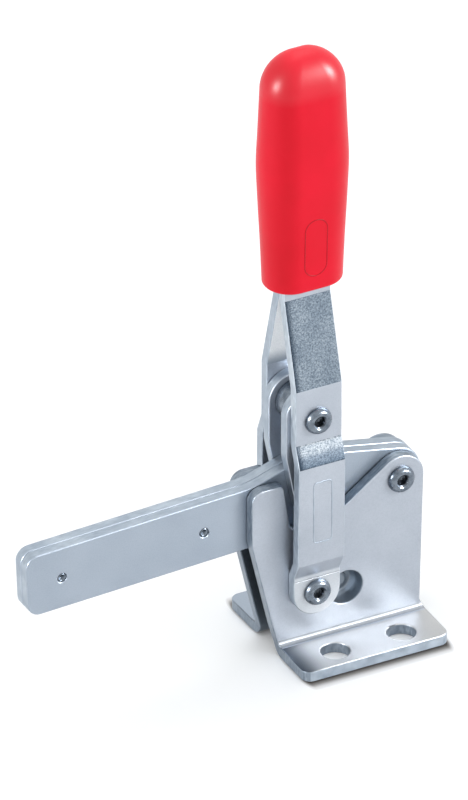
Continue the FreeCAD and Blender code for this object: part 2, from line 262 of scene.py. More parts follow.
class FinishBench(NodeBench):
    """The bench with a new material and its surface shader."""

    def __init__(self, name: str, **inputs: float) -> None:
        """Make the material.

        Args:
            name: Its name.
            inputs: Values for the shader's inputs.
        """
        self.material = bpy.data.materials.new(name)
        self.material.use_nodes = True
        super().__init__(self.material.node_tree)
        self.shader = next(node for node in self.tree.nodes if node.type == "BSDF_PRINCIPLED")
        self.feed(self.shader, inputs)

    def bump(self, height: Socket, depth: float, strength: float) -> None:
        """Raise the surface by a height, on top of any bump that it has.

        Args:
            height: The height, from 0 to 1.
            depth: What a height of 1 is, in metres.
            strength: How much of the bump shows.
        """
        feeds = {"Strength": strength, "Distance": depth, "Height": height}
        for link in self.shader.inputs["Normal"].links:
            feeds["Normal"] = link.from_socket
        raised = self.add("Bump", feeds).outputs["Normal"]
        self.feed(self.shader, {"Normal": raised})

    def finish(self, colour: Socket, value: Socket, rough: float, spread: Pair) -> Material:
        """Give the shader its colour and a roughness that follows a value.

        Args:
            colour: The colour.
            value: The value.
            rough: The roughness to change.
            spread: What is added to it where the value is 0.3, and where it is 0.7.

        Returns:
            The material.
        """
        varied = self.reach(value, rough + spread[0], rough + spread[1])
        self.feed(self.shader, {"Base Color": colour, "Roughness": varied})
        return self.material


@dataclass(frozen=True)
class SatinZinc:
    """Bright bluish zinc plate on the flat faces of the sheet; a pressed or scribed line and one end
    may be darkened, as painted shade.
    """

    name: str = "satin_zinc"
    roughness: float = 0.44
    spread: Pair = (-0.05, 0.08)
    metallic: float = 1.0
    light: Tint = (0.465, 0.50, 0.555)
    dark: Tint = (0.41, 0.445, 0.50)
    speckle: Tint = (0.88, 0.89, 0.90)
    grain_scale: float = 2600.0
    grain_depth: float = 0.00001
    cloud_scale: float = 55.0
    line_along: Optional[Triple] = None
    line_at: float = 0.0
    line_width: float = 0.00022
    line_depth: float = 0.00016
    line_shade: float = 0.5
    painted_shade_along: Optional[Triple] = None
    fade: Pair = (0.0, 1.0)
    painted_shade_tint: Tint = (0.2, 0.24, 0.29)

    def make(self) -> Material:
        """Wire the finish.

        Returns:
            Its material.
        """
        bench = FinishBench(self.name, Roughness=self.roughness, Metallic=self.metallic)
        cloud = bench.noise(self.cloud_scale, 4.0)
        grain = bench.noise(self.grain_scale, 3.0)
        colour = bench.blend(cloud, [(0.3, self.dark), (0.7, self.light)])
        colour = bench.shade(colour, grain, (0.3, self.speckle), (0.65, WHITE))
        bench.bump(grain, self.grain_depth, 0.25)
        # The line is a real bump, and the colour is darkened along it as painted shade.
        if self.line_along is not None:
            pressed = bench.line(self.line_along, self.line_at, self.line_width)
            bench.bump(pressed, self.line_depth, 1.0)
            colour = bench.shade(colour, pressed, (0.0, (self.line_shade,) * 3), (1.0, WHITE))
        # Painted shade: the colour darkens towards one end of the span, along the given direction.
        if self.painted_shade_along is not None:
            out_of_painted_shade = bench.along(self.painted_shade_along, self.fade)
            colour = bench.shade(colour, out_of_painted_shade, (0.0, self.painted_shade_tint), (1.0, WHITE))
        return bench.finish(colour, grain, self.roughness, self.spread)


@dataclass(frozen=True)
class ShearedZinc:
    """Zinc on the sheared edges, with streaks across the sheet."""

    name: str = "sheared_painted_shade_zinc"
    roughness: float = 0.42
    spread: Pair = (-0.1, 0.12)
    light: Tint = (0.36, 0.405, 0.455)
    dark: Tint = (0.20, 0.24, 0.285)
    stain: Tint = (0.80, 0.82, 0.85)
    streak_scale: float = 420.0
    streak_stretch: Triple = (1.0, 4.0, 1.0)
    streak_depth: float = 0.00005
    cloud_scale: float = 160.0

    def make(self) -> Material:
        """Wire the finish.

        Returns:
            Its material.
        """
        bench = FinishBench(self.name, Roughness=self.roughness, Metallic=1.0)
        streak = bench.noise(self.streak_scale, 5.0, self.streak_stretch)
        cloud = bench.noise(self.cloud_scale, 3.0)
        colour = bench.blend(streak, [(0.32, self.dark), (0.68, self.light)])
        colour = bench.shade(colour, cloud, (0.35, self.stain), (0.65, WHITE))
        bench.bump(streak, self.streak_depth, 0.4)
        return bench.finish(colour, streak, self.roughness, self.spread)


@dataclass(frozen=True)
class MottledZinc:
    """Stretched zinc on the bent bands of the legs, finely speckled, darker than the flat faces as
    painted shade, with painted shade along its edge.
    """

    name: str = "mottled_painted_shade_zinc"
    roughness: float = 0.38
    spread: Pair = (0.1, -0.06)
    light: Tint = (0.34, 0.39, 0.44)
    middle: Tint = (0.19, 0.23, 0.275)
    dark: Tint = (0.09, 0.117, 0.148)
    stain: Tint = (0.82, 0.84, 0.86)
    speck_scale: float = 2300.0
    speck_depth: float = 0.00004
    cloud_scale: float = 140.0
    edge_dark: Pair = (0.0204, 0.0182)
    edge_shade: Tint = (0.2, 0.24, 0.29)
    band: Optional[Pair] = None
    band_dark: Tint = (0.34, 0.40, 0.47)
    band_middle: Tint = (0.55, 0.60, 0.66)

    def make(self) -> Material:
        """Wire the finish.

        Returns:
            Its material.
        """
        bench = FinishBench(self.name, Roughness=self.roughness, Metallic=1.0)
        speck = bench.noise(self.speck_scale, 3.0)
        cloud = bench.noise(self.cloud_scale, 3.0)
        colour = bench.blend(speck, [(0.33, self.dark), (0.5, self.middle), (0.67, self.light)])
        colour = bench.shade(colour, cloud, (0.35, self.stain), (0.65, WHITE))
        # Painted shade along the band's +X edge.
        edge = bench.along((1.0, 0.0, 0.0), self.edge_dark)
        colour = bench.shade(colour, edge, (0.0, self.edge_shade), (1.0, WHITE))
        # Painted reflection: darker towards the bottom of the band, white near its top.
        if self.band is not None:
            rise = bench.along((0.0, 0.0, 1.0), self.band)
            stops = ((0.0, self.band_dark), (0.45, self.band_middle), (0.8, WHITE))
            colour = bench.shade(colour, rise, *stops)
        bench.bump(speck, self.speck_depth, 0.45)
        return bench.finish(colour, speck, self.roughness, self.spread)


@dataclass(frozen=True)
class RivetZinc:
    """Smooth bright zinc on the turned rivets, spacers and bush, with painted shade at its seat and
    down its hollows.
    """

    name: str = "rivet_zinc_painted_seat_shade"
    roughness: float = 0.24
    spread: Pair = (0.08, -0.03)
    light: Tint = (0.22, 0.253, 0.295)
    dark: Tint = (0.117, 0.142, 0.175)
    cloud_scale: float = 480.0
    cloud_depth: float = 0.00001
    seat_reach: float = 0.0016
    seat_shade: Tint = (0.16, 0.19, 0.23)

    def make(self) -> Material:
        """Wire the finish.

        Returns:
            Its material.
        """
        bench = FinishBench(self.name, Roughness=self.roughness, Metallic=1.0)
        cloud = bench.noise(self.cloud_scale, 4.0)
        colour = bench.blend(cloud, [(0.3, self.dark), (0.62, self.light)])
        # Painted shade where something stands close: at the seat of a head and down a hollow.
        seat = bench.add("AmbientOcclusion", {"Distance": self.seat_reach}, samples=8).outputs["AO"]
        colour = bench.shade(colour, seat, (0.35, self.seat_shade), (0.85, WHITE))
        bench.bump(cloud, self.cloud_depth, 0.2)
        return bench.finish(colour, cloud, self.roughness, self.spread)


@dataclass(frozen=True)
class RedPlastic:
    """Moulded red plastic with a soft gloss, most on the dome, and a band of painted shade down its
    faces.
    """

    name: str = "red_plastic_moulded"
    roughness: float = 0.37
    spread: Pair = (-0.03, 0.05)
    light: Tint = (0.95, 0.002, 0.026)
    dark: Tint = (0.87, 0.0015, 0.020)
    cloud_scale: float = 70.0
    grain_scale: float = 3200.0
    grain_depth: float = 0.000006
    gloss: Pair = (0.2, 0.42)
    gloss_heights: Pair = (0.179, 0.191)
    band_at: float = 0.022
    band_width: float = 0.0055
    band_shade: Tint = (0.84, 0.7, 0.7)

    def make(self) -> Material:
        """Wire the finish.

        Returns:
            Its material.
        """
        bench = FinishBench(self.name, Roughness=self.roughness)
        rise = bench.along((0.0, 0.0, 1.0), self.gloss_heights)
        bench.feed(bench.shader, {"Specular IOR Level": bench.reach(rise, *self.gloss)})
        cloud = bench.noise(self.cloud_scale, 3.0)
        grain = bench.noise(self.grain_scale, 2.0)
        colour = bench.blend(cloud, [(0.3, self.dark), (0.7, self.light)])
        # A band of painted shade down the grip, across its faces at one X.
        beside = bench.line((1.0, 0.0, 0.0), self.band_at, self.band_width)
        colour = bench.shade(colour, beside, (0.0, self.band_shade), (1.0, WHITE))
        bench.bump(grain, self.grain_depth, 0.2)
        return bench.finish(colour, grain, self.roughness, self.spread)


@dataclass(frozen=True)
class PaleFloor:
    """The white floor, which keeps the lamps' shadows and shows as the background, with a contact
    shadow painted round the flanges.
    """

    name: str = "pale_floor_painted_shadow"
    white: Tint = (0.9, 0.9, 0.9)
    lift: float = 0.16
    # Where the painted contact shadow lies round the two flanges, how far it reaches and its colours.
    foot_shift: Triple = (0.00035, 0.0, 0.0)
    foot_middle: Triple = (0.0, 0.0165, 0.0)
    foot_half: Triple = (0.02188, 0.0043, 1.0)
    foot_corner: float = 0.0032
    foot_inside: float = 0.0024
    shadow_narrow: Triple = (3.0, 1.0, 0.0)
    shadow_reach: float = 0.0046
    shadow_stops: tuple[Stop, ...] = (
        (0.0, (0.09, 0.082, 0.076)),
        (0.28, (0.25, 0.238, 0.23)),
        (0.6, (0.64, 0.63, 0.625)),
        (1.0, (0.9, 0.9, 0.9)),
    )

    def from_feet(self, bench: NodeBench) -> Socket:
        """Measure how far the floor is from the two flanges.

        Args:
            bench: The floor's node tree.

        Returns:
            A value from 0 at their rims to 1 where the painted shadow ends, and 1 inside the rims.
        """
        at = bench.place()
        for operation, constant in (
            ("SUBTRACT", self.foot_shift),
            ("ABSOLUTE", None),
            ("SUBTRACT", self.foot_middle),
            ("ABSOLUTE", None),
            ("SUBTRACT", self.foot_half),
            ("MAXIMUM", (0.0, 0.0, 0.0)),
            ("MULTIPLY", self.shadow_narrow),
        ):
            feeds = {0: at} if constant is None else {0: at, 1: constant}
            at = bench.add("VectorMath", feeds, operation=operation).outputs["Vector"]
        off = bench.add("VectorMath", {0: at}, operation="LENGTH").outputs["Value"]
        start, limit = self.foot_corner, self.foot_corner - self.foot_inside
        feeds = {"Value": off, "From Min": start, "From Max": start + self.shadow_reach}
        share = bench.add("MapRange", feeds).outputs["Result"]
        inside = bench.add("Math", {0: off, 1: limit}, operation="LESS_THAN").outputs["Value"]
        return bench.larger(share, inside)

    def make(self) -> Material:
        """Wire the finish.

        Returns:
            Its material.
        """
        bench = FinishBench(self.name, Roughness=0.9)
        path = bench.add("LightPath", {}).outputs
        # The camera sees the painted contact shadow; other rays see the plain white.
        near = bench.blend(self.from_feet(bench), self.shadow_stops)
        feeds = {"Factor": path["Is Camera Ray"], 6: (*self.white, 1.0), 7: near}
        colour = bench.add("Mix", feeds, data_type="RGBA").outputs[2]
        seen = bench.larger(path["Is Camera Ray"], path["Is Glossy Ray"])
        seen = bench.larger(seen, path["Is Transmission Ray"])
        glow = bench.add("Math", {0: seen, 1: self.lift}, operation="MULTIPLY").outputs["Value"]
        feeds = {"Base Color": colour, "Emission Color": colour, "Emission Strength": glow}
        bench.feed(bench.shader, {"Specular IOR Level": 0.1, **feeds})
        return bench.material


Finish = Union[SatinZinc, ShearedZinc, MottledZinc, RivetZinc, RedPlastic, PaleFloor]


def made(finish: Finish) -> Material:
    """Declare a place on the shelf for a finish's material."""
    return field(default_factory=finish.make)


@dataclass
class FinishShelf:
    """One material of each finish, made once and shared by the pieces."""

    satin: Material = made(SatinZinc())
    # Painted shade: darker zinc on the fold, and a darkened line along its crease.
    folded: Material = made(
        SatinZinc(
            name="folded_zinc",
            light=(0.30, 0.315, 0.34),
            dark=(0.26, 0.275, 0.295),
            line_along=(0.0, 1.0, -1.0),
            line_at=0.0036,
            line_depth=0.00007,
            line_shade=0.8,
        )
    )
    # Painted light: lighter zinc on the feet of the legs, with painted shade along the scribed line.
    scribed: Material = made(
        SatinZinc(
            name="scribed_painted_light_zinc",
            light=(0.62, 0.645, 0.68),
            dark=(0.51, 0.54, 0.575),
            line_along=(0.0, 0.0, 1.0),
            line_at=0.0259,
            line_width=0.00018,
        )
    )
    # Painted shade: a darker copy of the satin zinc, on the arm and on the right base plate.
    shaded_satin: Material = made(
        SatinZinc(name="shaded_satin_zinc", light=(0.39, 0.44, 0.505), dark=(0.345, 0.395, 0.46))
    )
    # Painted shade: darker zinc inside the cup in the base plate, and on the tie rivet there.
    pressed: Material = made(
        SatinZinc(name="cup_painted_shade_zinc", light=(0.31, 0.35, 0.40), dark=(0.23, 0.265, 0.305))
    )
    # Painted shade: dark zinc on the inner faces of the base plates, between them.
    inner: Material = made(
        SatinZinc(name="inner_painted_shade_zinc", light=(0.16, 0.19, 0.225), dark=(0.12, 0.145, 0.175))
    )
    # Painted light and shade: lighter, greyer zinc on the left flange's top, with a painted dark
    # reflection towards its +X end.
    flange: Material = made(
        SatinZinc(
            name="flange_painted_reflection_zinc",
            light=(0.53, 0.53, 0.53),
            dark=(0.47, 0.47, 0.47),
            painted_shade_along=(1.0, 0.0, 0.0),
            fade=(0.0245, 0.0145),
            painted_shade_tint=(0.12, 0.15, 0.19),
        )
    )
    # Painted highlight: near-white zinc, not metallic, inside the flares of the legs, darker towards
    # the flare's bottom.
    bright: Material = made(
        SatinZinc(
            name="flare_painted_highlight_zinc",
            metallic=0.0,
            light=(0.97, 0.98, 0.99),
            dark=(0.88, 0.90, 0.92),
            painted_shade_along=(0.0, 0.0, 1.0),
            fade=(0.0895, 0.0960),
            painted_shade_tint=(0.3, 0.345, 0.4),
        )
    )
    # Painted shade: the darker sheared zinc, on the ends, edges and hole walls of the base plates, not
    # on the flange rim.
    sheared: Material = made(ShearedZinc())
    # Painted light: lighter sheared zinc on the left leg's edges.
    sheared_painted_light: Material = made(
        ShearedZinc(name="sheared_painted_light_zinc", light=(0.58, 0.635, 0.69), dark=(0.42, 0.47, 0.52))
    )
    sheared_light: Material = made(
        ShearedZinc(name="sheared_light_zinc", light=(0.46, 0.515, 0.575), dark=(0.36, 0.41, 0.465))
    )
    # The flare's darker tone and its darker +X edge are painted shade; the speckle is the metal's own.
    mottled: Material = made(MottledZinc())
    # Painted light and reflection: lighter speckled zinc on the upper step, darker towards its bottom.
    stepped: Material = made(
        MottledZinc(
            name="stepped_painted_reflection_zinc",
            light=(0.57, 0.61, 0.65),
            middle=(0.33, 0.37, 0.41),
            dark=(0.14, 0.17, 0.205),
            band=(0.0648, 0.0714),
        )
    )
    rivet: Material = made(RivetZinc())
    # Painted shade: dark zinc down the hollows of the rolled rivet heads.
    hollow: Material = made(
        RivetZinc(name="rivet_hollow_painted_shade_zinc", light=(0.16, 0.18, 0.21), dark=(0.03, 0.035, 0.04))
    )
    plastic: Material = made(RedPlastic())
    # Painted shade: darker red on the grip's raised outline.
    plastic_shade_line: Material = made(
        RedPlastic(name="red_plastic_shade_line", light=(0.66, 0.003, 0.017), dark=(0.6, 0.002, 0.014))
    )
    floor: Material = made(PaleFloor())


def deselect_all() -> None:
    """Deselect every object."""
    bpy.ops.object.select_all(action="DESELECT")


def pick(piece: Piece) -> None:
    """Select one object alone and make it active.

    Args:
        piece: The object.
    """
    deselect_all()
    piece.select_set(True)
    bpy.context.view_layer.objects.active = piece


@contextmanager
def editing(
    piece: Piece, kind: str = "VERT", wanted: Optional[Callable[..., bool]] = None
) -> Iterator[None]:
    """Open a piece in edit mode, with all or some of it selected, and close it after use.

    Args:
        piece: The piece.
        kind: VERT to select points, FACE to select faces.
        wanted: Says whether a point or a face is selected, where not all of them are.

    Returns:
        What a with statement takes.
    """
    pick(piece)
    bpy.ops.object.mode_set(mode="EDIT")
    bpy.ops.mesh.select_mode(type=kind)
    bpy.ops.mesh.select_all(action="DESELECT" if wanted else "SELECT")
    if wanted:
        bpy.ops.object.mode_set(mode="OBJECT")
        for part in piece.data.polygons if kind == "FACE" else piece.data.vertices:
            part.select = wanted(part)
        bpy.ops.object.mode_set(mode="EDIT")
    yield
    bpy.ops.object.mode_set(mode="OBJECT")


def add_modifier(piece: Piece, kind: str, **settings: object) -> None:
    """Add a modifier to a piece and apply it.

    Args:
        piece: The piece.
        kind: The modifier's type.
        settings: Its settings by name.
    """
    pick(piece)
    bpy.ops.object.modifier_add(type=kind)
    modifier = piece.modifiers[-1]
    for name, value in settings.items():
        setattr(modifier, name, value)
    bpy.ops.object.modifier_apply(modifier=modifier.name)


def settle(piece: Piece) -> None:
    """Put a piece's object at the origin, with its place in its mesh."""
    pick(piece)
    bpy.ops.object.transform_apply(location=True, rotation=True, scale=True)


def face_out(piece: Piece) -> None:
    """Merge a piece's doubled points and turn its faces outwards."""
    with editing(piece):
        bpy.ops.mesh.remove_doubles(threshold=MERGE_REACH)
        bpy.ops.mesh.normals_make_consistent(inside=False)


def smooth(piece: Piece, angle: float) -> None:
    """Shade a piece smooth where its faces meet at less than an angle in degrees."""
    pick(piece)
    bpy.ops.object.shade_smooth_by_angle(angle=math.radians(angle))


def fresh_piece(name: str) -> Piece:
    """Name the object that was just added and settle it.

    Args:
        name: The name for it and its mesh.

    Returns:
        The piece.
    """
    piece = bpy.context.active_object
    piece.name = piece.data.name = name
    settle(piece)
    return piece


def dress(piece: Piece, *finishes: Material) -> None:
    """Give a piece its materials in order."""
    piece.data.materials.clear()
    for finish in finishes:
        piece.data.materials.append(finish)


def off_axis(place: Vector, centre: Pair) -> float:
    """Return how far a place is from an axis along Y, in millimetres."""
    return math.hypot(place.x / MM - centre[0], place.z / MM - centre[1])


def middle_of(node: str) -> Pair:
    """Return the X and Z of the middle of a node's box, in millimetres."""
    low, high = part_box(node)
    return (low.x + high.x) / 2 / MM, (low.z + high.z) / 2 / MM


def hand_over(piece: Piece, body: Body, replaced: Iterable[str] = ()) -> Piece:
    """Say what a finished piece rides on and what it stands for.

    Args:
        piece: The finished piece.
        body: The body that it rides on.
        replaced: The nodes that it stands for.

    Returns:
        The piece.
    """
    settle(piece)
    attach(piece, body.value)
    for node in replaced:
        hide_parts(node)
    log.info("%s rides on %s, %d faces", piece.name, body.value, len(piece.data.polygons))
    return piece


def roll_edges(piece: Piece, radius: float, steps: int = 3, angle: float = 35.0) -> None:
    """Round a piece's sharp edges.

    Args:
        piece: The piece.
        radius: The width of the rounding, in metres.
        steps: How many faces it has.
        angle: The least angle that counts as sharp, in degrees.
    """
    pick(piece)
    bpy.ops.object.shade_smooth()
    add_modifier(
        piece,
        "BEVEL",
        width=radius,
        segments=steps,
        limit_method="ANGLE",
        angle_limit=math.radians(angle),
        use_clamp_overlap=False,
        harden_normals=True,
    )


def turned(name: str, centre: Pair, profile: Sequence[Pair], steps: int = 56) -> Piece:
    """Spin a profile about the Y axis through a pivot.

    Args:
        name: The piece's name.
        centre: The pivot's X and Z, in millimetres.
        profile: Pairs of radius and Y from one end to the other, in millimetres.
        steps: How many faces go round.

    Returns:
        The turned piece.
    """
    start = (centre[0] + profile[0][0], profile[0][1], centre[1])
    bpy.ops.mesh.primitive_plane_add(size=MM, location=[v * MM for v in start])
    piece = fresh_piece(name)
    with editing(piece):
        bpy.ops.mesh.merge(type="CENTER")
        for (r_from, y_from), (r_to, y_to) in zip(profile, profile[1:]):
            step = ((r_to - r_from) * MM, (y_to - y_from) * MM, 0.0)
            bpy.ops.mesh.extrude_region_move(TRANSFORM_OT_translate={"value": step})
        bpy.ops.mesh.select_all(action="SELECT")
        middle = (centre[0] * MM, 0.0, centre[1] * MM)
        bpy.ops.mesh.spin(steps=steps, angle=2.0 * math.pi, center=middle, axis=(0.0, 1.0, 0.0))
    face_out(piece)
    smooth(piece, 40.0)
    return piece


def flat_ring(name: str, centre: Pair, size: Pair, corner_r: float, line: float, y: float) -> Piece:
    """Make a flat rounded ring in a plane across Y.

    Args:
        name: The piece's name.
        centre: Its middle's X and Z, in millimetres.
        size: Its width and height, in millimetres.
        corner_r: The radius of its corners, in millimetres.
        line: How broad the ring is, in millimetres.
        y: Where the plane is, in millimetres.

    Returns:
        The ring.
    """
    place = (centre[0] * MM, y * MM, centre[1] * MM)
    bpy.ops.mesh.primitive_plane_add(size=1.0, location=place, rotation=(-math.pi / 2, 0.0, 0.0))
    piece = fresh_piece(name)
    with editing(piece):
        bpy.ops.transform.resize(value=(size[0] * MM, 1.0, size[1] * MM), center_override=place)
        bpy.ops.mesh.bevel(offset=corner_r * MM, segments=14, affect="VERTICES", clamp_overlap=False)
        bpy.ops.mesh.select_all(action="SELECT")
        bpy.ops.mesh.inset(thickness=line * MM)
        bpy.ops.mesh.delete(type="ONLY_FACE")
    return piece


def raise_ring(piece: Piece, thickness: float, roll: float) -> None:
    """Thicken a flat ring to both sides and round its edges.

    Args:
        piece: The ring.
        thickness: Its thickness, in millimetres.
        roll: The width of the rounding, in millimetres.
    """
    add_modifier(piece, "SOLIDIFY", thickness=thickness * MM, offset=0.0)
    face_out(piece)
    roll_edges(piece, roll * MM, 2, 50.0)


@dataclass
class SheetPair:
    """A left and a right sheet piece, copied from their solids.

    The classes built on it name the nodes and say which finish each face gets.
    """

    shelf: FinishShelf
    node: str = ""
    word: str = "stamped"
    body: Body = Body.BASE
    edge_roll: float = 0.4 * MM

    def finishes(self, side: Side) -> tuple[Material, ...]:
        """Return a piece's materials in order."""
        return self.shelf.satin, self.shelf.sheared_light

    def choose(self, side: Side, centre: Vector, normal: Vector) -> int:
        """Return 0 for a face of the sheet and 1 for an edge of it."""
        return int(abs(normal.y) < EDGE_ON)

    def mend(self, piece: Piece, side: Side) -> None:
        """Leave the rounded piece as it is."""

    def sheet(self, side: Side) -> Piece:
        """Copy a solid, clean the copy, round its edges, dress it and hand it over.

        Args:
            side: Its side of the clamp.

        Returns:
            The new piece.
        """
        node = f"{self.node}_{side.name.lower()}"
        pick(frame["nodes"][node])
        bpy.ops.object.duplicate()
        piece = bpy.context.active_object
        bpy.ops.object.parent_clear(type="CLEAR_KEEP_TRANSFORM")
        for key in [key for key in piece.keys() if key.startswith("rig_")]:
            del piece[key]
        piece.name = piece.data.name = f"{self.word}_{node}"
        bpy.ops.mesh.customdata_custom_splitnormals_clear()
        with editing(piece):
            bpy.ops.mesh.remove_doubles(threshold=MERGE_REACH)
            bpy.ops.mesh.dissolve_limited(angle_limit=math.radians(FLAT_ANGLE))
        roll_edges(piece, self.edge_roll)
        self.mend(piece, side)
        dress(piece, *self.finishes(side))
        for face in piece.data.polygons:
            face.material_index = self.choose(side, face.center, face.normal)
        return hand_over(piece, self.body, [node])

    def make(self) -> list[Piece]:
        """Return the new left and right piece."""
        return [self.sheet(side) for side in Side]


@dataclass
class BasePlates(SheetPair):
    """The two folded base plates, with the tie rivet and the spacer between them."""

    node: str = "base_plate"
    word: str = "folded"
    edge_roll: float = 0.42 * MM
    flange_top: float = 8.0 * MM
    flange_side: float = 11.0 * MM
    flange_end: float = 22.5 * MM
    flange_rim: float = 22.5 * MM
    wall_in: float = 3.55 * MM
    wall_out: float = 7.1 * MM
    fold_slope: Pair = (0.2, 0.98)
    cup_centre: Pair = (2.2, 17.2)
    cup_r: float = 5.6
    hole_centre: Pair = (10.75, 16.8)
    hole_rim: float = 4.72
    hole_strays: Pair = (5.0, 5.6)
    hole_top: float = 3.78 * MM

    def finishes(self, side: Side) -> tuple[Material, ...]:
        """List a plate's materials.

        Args:
            side: Its side of the clamp.

        Returns:
            The materials in the order of the numbers that choose gives.
        """
        shelf = self.shelf
        # The right plate's faces take the darker satin copy, as painted shade.
        wall = shelf.satin if side is Side.LEFT else shelf.shaded_satin
        bent = (shelf.folded, shelf.pressed, shelf.inner, shelf.flange, shelf.sheared_light)
        return wall, shelf.sheared, *bent

    def choose(self, side: Side, centre: Vector, normal: Vector) -> int:
        """Tell the edges, the fold and the cup from the faces.

        Args:
            side: The plate's side of the clamp.
            centre: The face's centre.
            normal: The face's normal.

        Returns:
            0 for a face of the sheet, 1 for a sheared edge or a hole, darker as painted shade, 2 for
            the fold,
            3 for the cup and 4 for the inner face, all three in painted shade, 5 for the flange, with
            painted light and a painted dark reflection, and 6 for its light rim.
        """
        out = abs(centre.y)
        if off_axis(centre, self.cup_centre) < self.cup_r:
            return 3
        if out < self.wall_out and normal.y * side.value < -EDGE_ON:
            return 4
        low = centre.z < self.flange_top
        if low and out > self.flange_side:
            if abs(normal.z) < EDGE_ON:
                return 6 if out > self.flange_rim and abs(centre.x) <= self.flange_end else 1
            # Only the left flange's top takes the flange finish; the right one keeps the darker satin
            # copy, as painted shade.
            return 5 if normal.z > 0.0 and side is Side.LEFT else 0
        if abs(normal.x) > END_ON:
            return 1
        if not low:
            return int(abs(normal.y) < EDGE_ON)
        sloped = self.fold_slope[0] < normal.z < self.fold_slope[1]
        return 2 if sloped and out > self.wall_out else 0

    def fold_moves(self, mesh: bpy.types.Mesh, side: Side) -> list[Move]:
        """Find the points that the rounding threw inwards past the fold's ends.

        Args:
            mesh: The plate's mesh.
            side: Its side of the clamp.

        Returns:
            Each point with the move that puts it on its neighbour.
        """
        outward = [point.co.y * side.value for point in mesh.vertices]
        moves = []
        for point in mesh.vertices:
            if abs(point.co.x) > self.flange_end and outward[point.index] < self.wall_in:
                lines = [line.vertices[:] for line in mesh.edges if point.index in line.vertices]
                ends = [index for line in lines for index in line if index != point.index]
                home = max(ends, key=outward.__getitem__)
                moves.append((point.index, mesh.vertices[home].co - point.co))
        return moves

    def hole_moves(self, mesh: bpy.types.Mesh) -> list[Move]:
        """Find the points that the rounding threw out past the rims of the bolt holes.

        Args:
            mesh: The plate's mesh.

        Returns:
            Each point with the move that puts it back on its rim.
        """
        x, y = self.hole_centre
        moves = []
        for point in mesh.vertices:
            at = point.co
            middle = Vector((math.copysign(x * MM, at.x), math.copysign(y * MM, at.y), at.z))
            spoke = at - middle
            away = spoke.length / MM
            if self.hole_strays[0] < away < self.hole_strays[1] and at.z < self.hole_top:
                moves.append((point.index, spoke * (self.hole_rim / away - 1.0)))
        return moves

    def mend(self, piece: Piece, side: Side) -> None:
        """Draw back the points that the rounding threw out of their faces.

        Args:
            piece: The plate.
            side: Its side of the clamp.
        """
        moves = self.fold_moves(piece.data, side) + self.hole_moves(piece.data)
        for stray, move in moves:
            with editing(piece, wanted=lambda point: point.index == stray):
                bpy.ops.transform.translate(value=move)
        with editing(piece):
            bpy.ops.mesh.remove_doubles(threshold=MERGE_REACH)

    def make(self) -> list[Piece]:
        """Dress the pieces between the plates and make the plates.

        Returns:
            The new plates.
        """
        # The tie rivet in the cup takes the cup's painted shade.
        dress(frame["nodes"]["cup_tie_rivet"], self.shelf.pressed)
        dress(frame["nodes"]["handle_pivot_spacer"], self.shelf.rivet)
        return super().make()


@dataclass
class Arm(SheetPair):
    """The laminated arm with its flush rivets, bush and pivot core."""

    node: str = "arm_plate"
    body: Body = Body.ARM
    rivets: tuple[str, ...] = ("arm_rivet_front", "arm_rivet_rear")
    punch: tuple[Pair, ...] = ((0.0, -0.9), (0.35, -0.75), (0.7, -0.2), (1.0, 0.08))
    rivet_rim: Pair = (0.15, 0.2)

    def finishes(self, side: Side) -> tuple[Material, ...]:
        """Return a plate's materials in order."""
        return self.shelf.shaded_satin, self.shelf.sheared_light

    def flush_rivet(self, node: str) -> Piece:
        """Make a rivet that lies sunk in the arm, with a punched centre.

        Args:
            node: The node that it stands for.

        Returns:
            The rivet.
        """
        low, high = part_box(node)
        radius = (high.x - low.x) / 2 / MM
        reach = high.y / MM
        inset, drop = self.rivet_rim
        crown = [(r, reach + rise) for r, rise in self.punch]
        half = crown + [(radius - inset, reach), (radius, reach - drop)]
        profile = half + [(r, -y) for r, y in reversed(half)]
        piece = turned(f"punched_{node}", middle_of(node), profile, 32)
        dress(piece, self.shelf.rivet)
        return hand_over(piece, Body.ARM, [node])

    def make(self) -> list[Piece]:
        """Dress the arm's solids and make its new pieces.

        Returns:
            The new pieces.
        """
        for node in ("arm_bush", "arm_pivot_rivet_core"):
            dress(frame["nodes"][node], self.shelf.rivet)
        return super().make() + [self.flush_rivet(node) for node in self.rivets]


